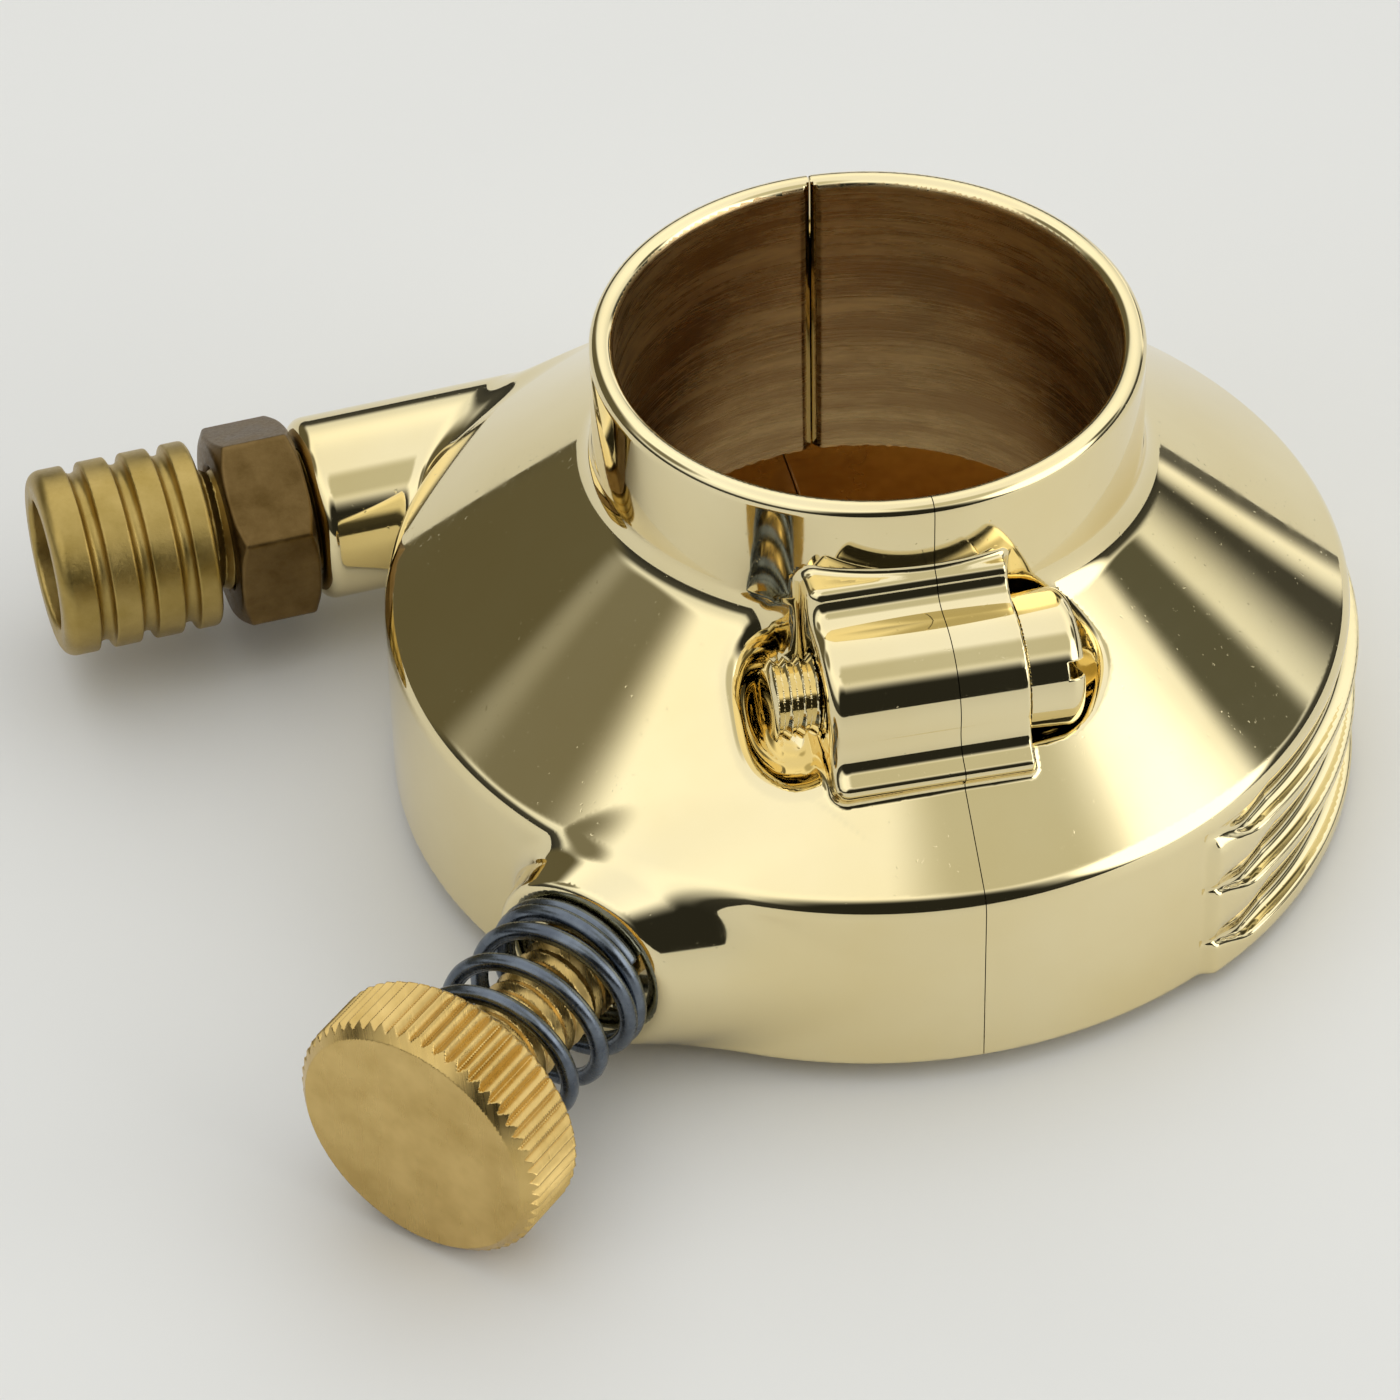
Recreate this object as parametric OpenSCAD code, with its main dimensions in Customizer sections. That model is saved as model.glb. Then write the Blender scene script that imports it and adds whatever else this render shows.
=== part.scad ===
// Clamp-on throttle control housing for a one-inch handlebar.
// Two brass half shells meet on the YZ plane. +Z runs along the handlebar, z = 0 is the flat inboard face.
// The origin is the centre of the handlebar bore at that face. -Y is the front, where the split is closed.

/* [Shell] */
// radius of the round skirt
skirt_r = 30; // [26:0.5:34]
// height of the skirt's straight side
skirt_h = 11.6; // [10:0.1:14]
// rounding of the shoulder between skirt and cone
shoulder_r = 2.0; // [0.5:0.1:3]
// rise of the cone above the horizontal, in degrees
cone_deg = 38.7; // [35:0.1:42]
// overall height, inboard face to rim
rim_z = 32; // [28:0.5:36]
// radius of the sleeve bore in the neck
neck_bore_r = 15.25; // [14.8:0.05:15.6]
// wall of the neck
neck_wall = 1.5; // [1.2:0.1:2]
// hollow fillet between neck and cone
neck_fillet_r = 3.0; // [2:0.1:4]

/* [Inside] */
// radius of the handlebar, one inch bar
bar_r = 12.7; // [11:0.1:12.7]
// thickness of the floor that grips the bar
floor_t = 3.6; // [3:0.1:4.5]
// radius of the drum chamber
chamber_r = 25.4; // [24:0.1:26]
// height of the chamber's ceiling, which is the ledge below the neck bore
ledge_z = 10.9; // [10:0.1:12]

/* [Split] */
// clearance on the closed front split
front_gap = 0.06; // [0.02:0.01:0.2]
// clearance on the rear split
rear_gap = 0.12; // [0.05:0.01:0.3]
// half width of the chamfered notch where the rear split meets the bores
rear_notch = 0.5; // [0.3:0.05:0.7]

/* [Clamp lugs] */
// distance of each clamp screw from the handlebar axis
lug_y = 19.2; // [18.8:0.1:20]
// height of the clamp screws
lug_z = 21.2; // [20:0.1:22]
// radius of the lug's round back
lug_r = 4.3; // [4:0.1:5]
// left end of the lugs
lug_left_x = -7.7; // [-9:0.1:-7]
// right end of the lugs, the screw head's seat
lug_right_x = 4.3; // [4:0.1:6]

/* [Clamp screws] */
// thread crest radius of the clamp screws
screw_r = 2.5; // [2:0.1:3]
// depth of the clamp screws' thread
screw_thread_depth = 0.45; // [0.3:0.05:0.5]
// pitch of the clamp screws
screw_pitch = 0.8; // [0.7:0.05:1]
// radius of the clamp screws' round heads
head_r = 4.15; // [3.8:0.05:4.3]
// length of the heads
head_len = 3.5; // [3:0.1:4]
// how far the thread stands out of the lug
tail_len = 2.9; // [1:0.1:3.5]

/* [Friction screw] */
// height of the friction screw's axis
friction_z = 6.05; // [5.5:0.05:6.5]
// distance of its boss's end face from the handlebar axis
boss_end = 32.5; // [31:0.1:34]
// radius of the boss's end face
boss_r = 5.85; // [5.5:0.05:6]
// thread crest radius of the friction screw
stem_r = 3.0; // [2.5:0.1:3.5]
// distance of the knob's outer face from the handlebar axis
knob_face = 50.0; // [48:0.1:52]
// knob thickness
knob_t = 5.0; // [4.5:0.1:6]
// knob radius over the knurl
knob_r = 8.35; // [7.5:0.05:9]
// number of knurl teeth
knurl_count = 60; // [48:1:72]
// depth of the knurl
knurl_depth = 0.35; // [0.2:0.05:0.5]

/* [Spring] */
// wire radius of the spring
wire_r = 0.55; // [0.4:0.05:0.7]
// mean radius of the spring's coil
coil_r = 4.78; // [4.5:0.05:5]
// number of turns
spring_turns = 5; // [4:0.25:7]

/* [Friction shoe] */
// radius of the friction shoe
shoe_r = 4.4; // [4:0.1:4.6]
// thickness of the shoe's disc
shoe_t = 1.4; // [1.2:0.1:2]
// thickness of the shoe's liner before its face is hollowed
liner_t = 1.7; // [1.4:0.1:2]
// distance of the shoe's back face from the handlebar axis
shoe_back = 27.9; // [27.5:0.1:28.5]

/* [Cable adjuster] */
// x of the point on the adjuster's axis where the barrel's collar begins
cable_x = -39; // [-41:0.1:-37]
// y of that point
cable_y = 20.9; // [20:0.1:22]
// height of the adjuster's axis
cable_z = 7.0; // [6.5:0.1:7.5]
// lean of the adjuster's axis from the X axis, in degrees
cable_deg = 5.3; // [0:0.1:8]
// radius of the cable boss
cable_boss_r = 5.95; // [5.5:0.05:6.2]
// length from the collar's inner face back to the boss's end
boss_setback = 6.8; // [6.4:0.1:8]
// radius of the barrel's grooved collar
barrel_r = 6.05; // [5.8:0.05:6.3]
// length of the collar
barrel_len = 10.3; // [9:0.1:11]
// radius of the barrel's threaded shank
shank_r = 4.0; // [3.5:0.1:4.2]
// how deep the shank reaches into the boss
shank_in = 5.4; // [4:0.1:6]
// width of the lock nut across flats
nut_af = 11.9; // [11:0.1:13]
// thickness of the lock nut
nut_t = 5.3; // [5:0.1:6]
// radius of the barrel's open mouth
mouth_r = 4.2; // [3.8:0.1:4.5]

/* [Louvres] */
// how far the louvred panel stands out of the skirt
panel_proud = 0.6; // [0.3:0.1:0.8]
// heights of the louvres' ledges
ledge_heights = [1.2, 5.5, 9.8];
// depth of each louvre at its ledge
louvre_depth = 1.4; // [1:0.1:1.8]
// front end of the louvred panel, in degrees from +X
panel_front_deg = -60; // [-65:1:-50]
// rear end of the louvred panel, in degrees from +X
panel_rear_deg = 30; // [10:1:50]

/* [Hidden] */
$fn = 96;
eps = 0.01;
run_gap = 0.05;
big = 60;
// points of the outer profile, from shoulder to neck
cone_s = sin(cone_deg);
cone_c = cos(cone_deg);
cone_t = tan(cone_deg);
shoulder_x = skirt_r - shoulder_r;
// the cone starts this far inside the shoulder's rounding, so that the two surfaces cross cleanly
cone_bite = 0.0005;
cone_low = [shoulder_x + (shoulder_r - cone_bite) * cone_s, skirt_h + (shoulder_r - cone_bite) * cone_c];
neck_r = neck_bore_r + neck_wall;
fillet_x = neck_r + neck_fillet_r;
cone_high_x = fillet_x - neck_fillet_r * cone_s;
cone_high = [cone_high_x, cone_low[1] + (cone_low[0] - cone_high_x) * cone_t];
fillet_z = cone_high[1] + neck_fillet_r * cone_c;
lip_r = neck_wall / 2;
// clamp screw
thread_root_r = screw_r - screw_thread_depth;
lug_seat_x = lug_right_x + eps;
dowel_r = 1.5;
dowel_len = 8;
dowel_y = 27.2;
dowel_z = 6.0;
// friction screw
friction_deg = -135;
spring_room = knob_face - knob_t - boss_end;
spring_len = spring_room - 0.1;
spring_pitch = spring_len / spring_turns;
stem_tip = shoe_back + run_gap;
tip_r = 2.2;
pocket_r = shoe_r + run_gap;
pocket_end = 29.6;
liner_r = 3.9;
// cable adjuster
shank_root = shank_r - 0.5;
cable_hole_r = 1.4;
seat_r = 3.0;
seat_depth = 6.5;
ferrule_len = 4.2;
ferrule_hole_r = 1.2;
ferrule_cup_r = 2.3;
groove_w = 1.0;
groove_d = 0.6;
land_w = 1.75;
first_land = 2.3;

// outer section of the shell, revolved about Z
module shell_section() {
  difference() {
    union() {
      square([skirt_r, skirt_h]);
      polygon([
        [0, 0],
        [shoulder_x, 0],
        [shoulder_x, skirt_h],
        cone_low,
        cone_high,
        [fillet_x, fillet_z],
        [neck_r, fillet_z],
        [neck_r, rim_z - lip_r],
        [0, rim_z - lip_r]
      ]);
      translate([shoulder_x, skirt_h]) circle(r = shoulder_r);
      translate([neck_r - lip_r, rim_z - lip_r]) circle(r = lip_r);
    }
    translate([fillet_x, fillet_z]) circle(r = neck_fillet_r);
  }
}

// places a child from +Z onto the friction screw's axis, measured outward from the handlebar axis
module on_friction_axis(rho) {
  rotate([0, 0, friction_deg]) translate([rho, 0, friction_z]) rotate([0, 90, 0]) children();
}

// places a child from +Z onto the cable adjuster's axis, measured outward from the collar's inner face
module on_cable_axis(t) {
  translate([cable_x, cable_y, cable_z]) rotate([0, 0, 180 + cable_deg]) rotate([0, 90, 0])
    translate([0, 0, t]) children();
}

// places a child from +Z onto a clamp screw's axis, side = -1 at the front and 1 at the rear
module on_lug_axis(side, x) {
  translate([x, side * lug_y, lug_z]) rotate([0, 90, 0]) children();
}

// boss that widens from the spring's flat seat into a broad oval root, carried over towards the front
module friction_boss() {
  root_x = 26;
  root_shift = 3.75;
  root_rise = 0.25;
  root_half_w = 10.85;
  root_half_h = 8.65;
  end_chamfer = 0.5;
  hull() {
    on_friction_axis(boss_end - end_chamfer)
      cylinder(h = end_chamfer, r1 = boss_r, r2 = boss_r - end_chamfer * 0.6, $fn = 64);
    rotate([0, 0, friction_deg]) translate([root_x, root_shift, friction_z + root_rise])
      rotate([0, 90, 0]) scale([root_half_h, root_half_w, 1]) cylinder(h = end_chamfer, r = 1, $fn = 64);
  }
}

// boss for the cable adjuster, with a rounded end
module cable_boss() {
  round_r = 1.1;
  on_cable_axis(-boss_setback) rotate_extrude() {
    translate([0, -16]) square([cable_boss_r, 16 - round_r]);
    translate([0, -round_r]) square([cable_boss_r - round_r, round_r]);
    translate([cable_boss_r - round_r, -round_r]) circle(r = round_r);
  }
}

// section of a clamp lug about the screw's axis: +y is out of the cone, down is the side its flank lies on
module lug_section(down) {
  reach = 6.6;
  flank_h = 0.9;
  edge = 0.8;
  waist = 4.0;
  waist_h = 1.9;
  foot = -3.2;
  circle(r = lug_r);
  polygon([
    [0, foot],
    [0, waist_h],
    [down * waist, waist_h],
    [down * (reach - edge), flank_h + 0.3],
    [down * reach, flank_h],
    [down * reach, foot]
  ]);
}

// solid clamp lug between its two end faces: a round back, a flank down the cone and a pad up the neck
module clamp_lug(side) {
  pad_out = neck_r + 0.65;
  pad_in = neck_r - 1;
  pad_top = lug_z + 6;
  lug_len = lug_right_x - lug_left_x;
  on_lug_axis(side, lug_left_x) linear_extrude(height = lug_len)
    rotate(side < 0 ? 90 + cone_deg : 90 - cone_deg) lug_section(side);
  translate([lug_left_x, side < 0 ? -pad_out : pad_in, lug_z])
    cube([lug_len, pad_out - pad_in, pad_top - lug_z]);
}

// room milled round the thread's tail and round the screw head
module lug_pockets(side) {
  tail_pocket_r = 4.9;
  tail_pocket_len = 3.9;
  head_pocket_r = 4.75;
  head_pocket_len = 5.4;
  on_lug_axis(side, lug_left_x - tail_pocket_len) cylinder(h = tail_pocket_len, r = tail_pocket_r);
  on_lug_axis(side, lug_right_x) cylinder(h = head_pocket_len, r1 = head_pocket_r, r2 = head_pocket_r - 0.6);
}

// raised panel on the right side of the skirt
module louvre_panel() {
  panel_top = skirt_h - 0.4;
  rotate([0, 0, panel_front_deg])
    rotate_extrude(angle = panel_rear_deg - panel_front_deg)
      polygon([
        [skirt_r - 3, 0],
        [skirt_r + panel_proud, 0],
        [skirt_r + panel_proud, panel_top - panel_proud],
        [skirt_r, panel_top],
        [skirt_r - 3, panel_top]
      ]);
}

// one louvre: deep at its lower ledge, running out upwards
module louvre_cut(z) {
  outer = skirt_r + panel_proud + 1;
  rise = 3.9;
  inset = 2;
  face_r = skirt_r + panel_proud;
  rotate([0, 0, panel_front_deg + inset])
    rotate_extrude(angle = panel_rear_deg - panel_front_deg - 2 * inset)
      polygon([
        [face_r - louvre_depth, z],
        [outer, z - 0.25],
        [outer, z + rise],
        [face_r, z + rise],
        [face_r - louvre_depth * 0.45, z + rise * 0.55],
        [face_r - louvre_depth * 0.85, z + rise * 0.2]
      ]);
}

// solid of the whole shell before it is split
module shell_body(with_bosses) {
  difference() {
    union() {
      difference() {
        union() {
          rotate_extrude() shell_section();
          if (with_bosses) intersection() {
            union() {
              friction_boss();
              cable_boss();
            }
            translate([-big, -big, 0]) cube([2 * big, 2 * big, big]);
          }
        }
        for (side = [-1, 1]) lug_pockets(side);
      }
      for (side = [-1, 1]) clamp_lug(side);
    }
    // bar bore, drum chamber and sleeve bore
    translate([0, 0, -1]) cylinder(h = floor_t + 2, r = bar_r);
    translate([0, 0, floor_t]) cylinder(h = ledge_z - floor_t, r = chamber_r);
    translate([0, 0, ledge_z - 1]) cylinder(h = rim_z, r = neck_bore_r);
    translate([rear_gap / 2, neck_bore_r, ledge_z]) rotate([0, 0, 45])
      cube([rear_notch * sqrt(2), rear_notch * sqrt(2), 3 * rim_z], center = true);
  }
}

// hole for a clamp screw between two x positions
module clamp_hole(side, extra, from_x, to_x) {
  on_lug_axis(side, from_x) cylinder(h = to_x - from_x, r = screw_r + extra);
}

module dowel_holes(side, extra) {
  translate([-dowel_len / 2 - 0.2, side * dowel_y, dowel_z]) rotate([0, 90, 0])
    cylinder(h = dowel_len + 0.4, r = dowel_r + extra);
}

// left half: friction screw boss, cable boss, tapped lugs
module left_shell() {
  color([0.86, 0.70, 0.36])
  difference() {
    shell_body(true);
    translate([0, -big, -1]) cube([big, 2 * big, big]);
    for (side = [-1, 1]) {
      clamp_hole(side, run_gap, lug_left_x - 1, 1);
      translate([-dowel_len / 2, side * dowel_y, dowel_z])
        rotate([0, 90, 0])
          cylinder(h = dowel_len, r = dowel_r);
    }
    // tapped hole for the friction screw and the shoe's guide behind it
    on_friction_axis(chamber_r - 3) cylinder(h = boss_end - chamber_r + 6, r = stem_r + run_gap);
    on_friction_axis(chamber_r - 3) cylinder(h = pocket_end - chamber_r + 3, r = pocket_r);
    // tapped hole for the adjuster and the cable's way into the chamber
    on_cable_axis(-boss_setback - shank_in - 3) cylinder(h = shank_in + 5, r = shank_r + run_gap);
    on_cable_axis(-36) cylinder(h = 28, r = cable_hole_r + 0.4);
  }
}

// right half: screw heads' lugs and the louvres
module right_shell() {
  color([0.86, 0.70, 0.36])
  difference() {
    union() {
      shell_body(false);
      difference() {
        louvre_panel();
        translate([0, 0, floor_t]) cylinder(h = ledge_z - floor_t, r = chamber_r);
      }
    }
    translate([-big, -big, -1]) cube([big + front_gap, 2 * big, big]);
    translate([-big, 0, -1]) cube([big + rear_gap, big, big]);
    for (z = ledge_heights) louvre_cut(z);
    for (side = [-1, 1]) {
      clamp_hole(side, 0.2, -1, lug_right_x + 1);
      dowel_holes(side, run_gap);
    }
  }
}

// round-headed clamp screw with its threaded tail, along +Z from the head's seat towards the tail
module clamp_screw() {
  shank_len = lug_right_x - lug_left_x;
  round_r = 1.0;
  slot_w = 1.0;
  slot_d = 1.1;
  crests = 4;
  core_len = shank_len + tail_len;
  difference() {
    union() {
      rotate_extrude() {
        translate([0, -head_len + round_r]) square([head_r, head_len - round_r]);
        translate([0, -head_len]) square([head_r - round_r, head_len]);
        translate([head_r - round_r, -head_len + round_r]) circle(r = round_r);
      }
      cylinder(h = shank_len - 0.4, r = screw_r);
      cylinder(h = core_len, r = thread_root_r);
      for (i = [0:crests - 1]) {
        at = core_len - 0.25 - (i + 1) * screw_pitch + screw_pitch / 2;
        translate([0, 0, at - 0.3]) cylinder(h = 0.3, r1 = thread_root_r - eps, r2 = screw_r - 0.03);
        translate([0, 0, at]) cylinder(h = 0.3, r1 = screw_r - 0.03, r2 = thread_root_r - eps);
      }
    }
    translate([-head_r - 1, -slot_w / 2, -head_len - 1]) cube([2 * head_r + 2, slot_w, slot_d + 1]);
  }
}

module place_clamp_screw(side, turn) {
  translate([lug_seat_x, side * lug_y, lug_z]) rotate([0, -90, 0]) rotate([0, 0, turn]) clamp_screw();
}

module front_clamp_screw() {
  color([0.86, 0.70, 0.36]) place_clamp_screw(-1, 62);
}

module rear_clamp_screw() {
  color([0.86, 0.70, 0.36]) place_clamp_screw(1, 20);
}

// two pins that keep the halves in register
module locating_dowels() {
  color([0.62, 0.63, 0.65])
  for (side = [-1, 1])
    translate([-dowel_len / 2, side * dowel_y, dowel_z]) rotate([0, 90, 0])
      cylinder(h = dowel_len, r = dowel_r);
}

// knurled thumb knob with its threaded stem
module friction_screw() {
  face_chamfer = 0.6;
  back_chamfer = 0.4;
  stem_len = knob_face - knob_t - stem_tip;
  tip_len = 2.2;
  step = 360 / knurl_count;
  root = knob_r - knurl_depth;
  teeth = [
    for (i = [0:knurl_count - 1], k = [0, 0.34, 0.66])
      let (a = (i + k) * step, r = k == 0 ? root : knob_r)
        [r * cos(a), r * sin(a)]
  ];
  color([0.80, 0.64, 0.32])
  on_friction_axis(knob_face) mirror([0, 0, 1]) {
    intersection() {
      linear_extrude(height = knob_t) polygon(teeth);
      union() {
        cylinder(h = face_chamfer, r1 = knob_r - face_chamfer, r2 = knob_r + eps);
        translate([0, 0, face_chamfer]) cylinder(h = knob_t - face_chamfer - back_chamfer, r = knob_r + eps);
        translate([0, 0, knob_t - back_chamfer])
          cylinder(h = back_chamfer, r1 = knob_r + eps, r2 = knob_r - back_chamfer);
      }
    }
    translate([0, 0, knob_t - 1]) cylinder(h = stem_len + 1 - tip_len, r = stem_r);
    translate([0, 0, knob_t - 1]) cylinder(h = stem_len + 1, r = tip_r);
  }
}

// compression spring with ground ends
module tension_spring() {
  steps = 16;
  slices_per_turn = 24;
  lens = [
    for (i = [0:steps - 1])
      let (a = 360 * i / steps, r = coil_r + wire_r * cos(a), q = wire_r * sin(a) * 360 / spring_pitch)
        [r * cos(q), r * sin(q)]
  ];
  color([0.45, 0.48, 0.52])
  on_friction_axis(boss_end + 0.05)
    linear_extrude(
      height = spring_len,
      twist = -360 * spring_turns,
      slices = slices_per_turn * spring_turns,
      $fn = steps
    )
      polygon(lens);
}

// steel disc pushed inwards by the friction screw's tip
module friction_shoe() {
  recess = 0.4;
  color([0.60, 0.61, 0.63])
  on_friction_axis(shoe_back - shoe_t) difference() {
    cylinder(h = shoe_t, r = shoe_r);
    translate([0, 0, -1]) cylinder(h = recess + 1, r = liner_r);
  }
}

// soft liner bonded into the shoe's recess, hollowed to the drum's curve
module shoe_liner() {
  recess = 0.4;
  color([0.25, 0.20, 0.16])
  difference() {
    on_friction_axis(shoe_back - shoe_t + recess - liner_t) cylinder(h = liner_t, r = liner_r);
    translate([0, 0, -1]) cylinder(h = 22, r = chamber_r + 0.2);
  }
}

// grooved barrel with its threaded shank
module cable_adjuster() {
  lip = 0.9;
  shank_total = boss_setback + shank_in;
  color([0.72, 0.58, 0.32])
  on_cable_axis(0) difference() {
    union() {
      rotate_extrude() difference() {
        union() {
          square([barrel_r, barrel_len - lip]);
          translate([0, barrel_len - lip]) square([barrel_r - lip, lip]);
          translate([barrel_r - lip, barrel_len - lip]) circle(r = lip);
        }
        for (i = [0:2]) {
          groove_t = barrel_len - first_land - groove_w / 2 - i * (groove_w + land_w);
          translate([barrel_r - groove_d + groove_w / 2, groove_t]) {
            circle(d = groove_w);
            translate([0, -groove_w / 2]) square([1, groove_w]);
          }
        }
      }
      translate([0, 0, -shank_total]) cylinder(h = shank_total + eps, r = shank_root);
      translate([0, 0, -shank_total + 0.5]) cylinder(h = shank_total - 1.3, r = shank_r);
    }
    translate([0, 0, barrel_len - seat_depth]) cylinder(h = seat_depth + 1, r = seat_r + run_gap);
    translate([0, 0, barrel_len - 2.2]) cylinder(h = 3.2, r = mouth_r);
    translate([0, 0, -shank_total - 1]) cylinder(h = shank_total + barrel_len, r = cable_hole_r);
  }
}

// hexagon lock nut, chamfered on both faces
module adjuster_locknut() {
  corner_r = nut_af / sqrt(3);
  bevel = 0.75;
  nut_turn = 33.5;
  color([0.66, 0.50, 0.28])
  on_cable_axis(-boss_setback + 0.3) difference() {
    intersection() {
      rotate([0, 0, nut_turn]) cylinder(h = nut_t, r = corner_r, $fn = 6);
      union() {
        cylinder(h = bevel, r1 = corner_r - bevel * 1.3, r2 = corner_r + 0.01);
        translate([0, 0, bevel]) cylinder(h = nut_t - 2 * bevel, r = corner_r + 0.01);
        translate([0, 0, nut_t - bevel])
          cylinder(h = bevel, r1 = corner_r + 0.01, r2 = corner_r - bevel * 1.3);
      }
    }
    translate([0, 0, -1]) cylinder(h = nut_t + 2, r = shank_r + run_gap);
  }
}

// loose cup in the barrel that seats the outer cable and doesn't turn with it
module cable_ferrule() {
  cup_depth = 3.0;
  color([0.70, 0.71, 0.72])
  on_cable_axis(barrel_len - seat_depth + eps) difference() {
    cylinder(h = ferrule_len, r = seat_r);
    translate([0, 0, ferrule_len - cup_depth]) cylinder(h = cup_depth + 1, r = ferrule_cup_r);
    translate([0, 0, -1]) cylinder(h = ferrule_len + 2, r = ferrule_hole_r);
  }
}

left_shell();
right_shell();
front_clamp_screw();
rear_clamp_screw();
locating_dowels();
friction_screw();
tension_spring();
friction_shoe();
shoe_liner();
cable_adjuster();
adjuster_locknut();
cable_ferrule();
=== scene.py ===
import math

import bmesh
import bpy
import numpy as np
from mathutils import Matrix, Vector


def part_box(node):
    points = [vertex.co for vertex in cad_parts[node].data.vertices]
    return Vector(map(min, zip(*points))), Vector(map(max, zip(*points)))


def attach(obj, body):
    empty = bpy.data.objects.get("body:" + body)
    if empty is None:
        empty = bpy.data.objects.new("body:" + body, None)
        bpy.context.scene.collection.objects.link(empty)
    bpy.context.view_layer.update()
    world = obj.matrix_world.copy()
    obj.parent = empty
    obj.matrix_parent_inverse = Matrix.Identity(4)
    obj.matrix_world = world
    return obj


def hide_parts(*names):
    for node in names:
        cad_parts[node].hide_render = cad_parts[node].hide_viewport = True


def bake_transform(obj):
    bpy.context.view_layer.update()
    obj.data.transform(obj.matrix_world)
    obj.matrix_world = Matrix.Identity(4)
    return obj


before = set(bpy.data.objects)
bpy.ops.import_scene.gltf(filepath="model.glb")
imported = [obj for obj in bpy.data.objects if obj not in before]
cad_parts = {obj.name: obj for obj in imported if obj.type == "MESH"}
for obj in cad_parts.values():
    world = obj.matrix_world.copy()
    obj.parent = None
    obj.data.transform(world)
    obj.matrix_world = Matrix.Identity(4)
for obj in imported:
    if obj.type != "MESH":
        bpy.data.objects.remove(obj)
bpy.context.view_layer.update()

import openvdb
from mathutils import Matrix, Vector

MM = 0.001


def sin_deg(a):
    return math.sin(math.radians(a))


def cos_deg(a):
    return math.cos(math.radians(a))


def box_mm(node):
    lo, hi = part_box(node)
    return [v / MM for v in lo], [v / MM for v in hi]


# ---------------------------------------------------------------------------
# Driving dimensions, in millimetres, in the CAD frame. The overall ones are read from the frame.
# ---------------------------------------------------------------------------
right_lo, right_hi = box_mm("right_shell")
RIM_Z = right_hi[2]
SKIRT_R = -right_lo[1]
PANEL_PROUD = right_hi[0] - SKIRT_R
SKIRT_H = 11.6
SHOULDER_R = 2.0
CONE_S, CONE_C = sin_deg(38.7), cos_deg(38.7)
BORE_R = 15.25
NECK_R = 16.75
FILLET_R = 3.0
LIP_R = (NECK_R - BORE_R) / 2
BAR_R = 12.7
FLOOR_T = 3.6
CHAMBER_R = 25.4
LEDGE_Z = 10.9
FRONT_GAP = right_lo[0]
REAR_GAP = 0.12
REAR_NOTCH = 0.52
EDGE = 0.3

SHOULDER_X = SKIRT_R - SHOULDER_R
CONE_LOW = (SHOULDER_X + SHOULDER_R * CONE_S, SKIRT_H + SHOULDER_R * CONE_C)
FILLET_X = NECK_R + FILLET_R
CONE_HIGH_X = FILLET_X - FILLET_R * CONE_S
CONE_HIGH = (CONE_HIGH_X, CONE_LOW[1] + (CONE_LOW[0] - CONE_HIGH_X) * CONE_S / CONE_C)
FILLET_Z = CONE_HIGH[1] + FILLET_R * CONE_C

LUG_Y, LUG_Z, LUG_R = 19.2, 21.2, 4.3
LUG_LEFT, LUG_RIGHT = -7.7, 4.3
FLANK_REACH = 6.6
PAD_Y, PAD_Z = NECK_R + 0.65, LUG_Z + 6.0
SCREW_HOLE_R = 2.7
TROUGH_R, SCALLOP_R = 4.5, 4.75

LEDGES = (1.2, 5.5, 9.8)
PANEL_FRONT, PANEL_BACK = -61.5, 27.0
LOUVRE_DEPTH = 1.9
LOUVRE_SLOPE = 0.42
TIP_LIFT = 1.4

FRICTION_Z = 6.05
BOSS_END = 32.5
BOSS_R = 5.85
BOSS_ROOT_LEN = 6.5
BOSS_FLARE_W, BOSS_FLARE_H = 5.0, 2.8
SPRING_SEAT_R, SPRING_SEAT_FLOOR = 4.45, 29.6
STEM_R = 3.0
KNOB_FACE = 50.0
KNOB_T = 5.0
KNOB_R = 8.35
KNURLS, KNURL_DEPTH = 60, 0.42
FACE_CHAMFER, BACK_CHAMFER = 0.8, 0.4
STEM_FROM, STEM_TO = 30.0, 46.0
TIP_R, TIP_FROM = 2.2, 27.95

CABLE_POINT = (-39.0, 20.9, 7.0)
CABLE_OUT = (-cos_deg(5.3), -sin_deg(5.3), 0.0)
CABLE_BOSS_R = 5.95
BOSS_BACK = 6.8
BARREL_R = 6.05
BARREL_LEN = 10.3
GROOVE_FIRST, GROOVE_STEP, GROOVE_R = 2.8, 2.75, 0.5
MOUTH_R, MOUTH_DEEP = 4.2, 2.2
SEAT_R, SEAT_DEEP = 3.05, 6.5
CABLE_HOLE_R = 1.4
NUT_AF, NUT_T, NUT_TURN = 11.9, 5.3, 3.5
SHANK_R = 4.0
RUN_GAP = 0.05

SCREW_R, SCREW_PITCH = 2.48, 0.8
HEAD_R, HEAD_LEN = 4.15, 3.5
SCREW_TAIL = 2.9


# ---------------------------------------------------------------------------
# Signed distances, negative inside. Round joins are circular.
# ---------------------------------------------------------------------------
def join(a, b, k):
    """Union with a hollow fillet of radius k."""
    return np.maximum(k, np.minimum(a, b)) - np.hypot(np.maximum(k - a, 0), np.maximum(k - b, 0))


def meet(a, b, k):
    """Intersection with its edge rounded to radius k."""
    return np.minimum(-k, np.maximum(a, b)) + np.hypot(np.maximum(k + a, 0), np.maximum(k + b, 0))


def cut(a, b, k):
    """a with b taken out, the new edge rounded to radius k."""
    return meet(a, -b, k)


def smoothstep(lo, hi, x):
    t = np.clip((x - lo) / (hi - lo), 0, 1)
    return t * t * (3 - 2 * t)


def between(v, lo, hi):
    """The slice of space where v lies from lo to hi."""
    return np.abs(v - (lo + hi) / 2) - (hi - lo) / 2


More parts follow.
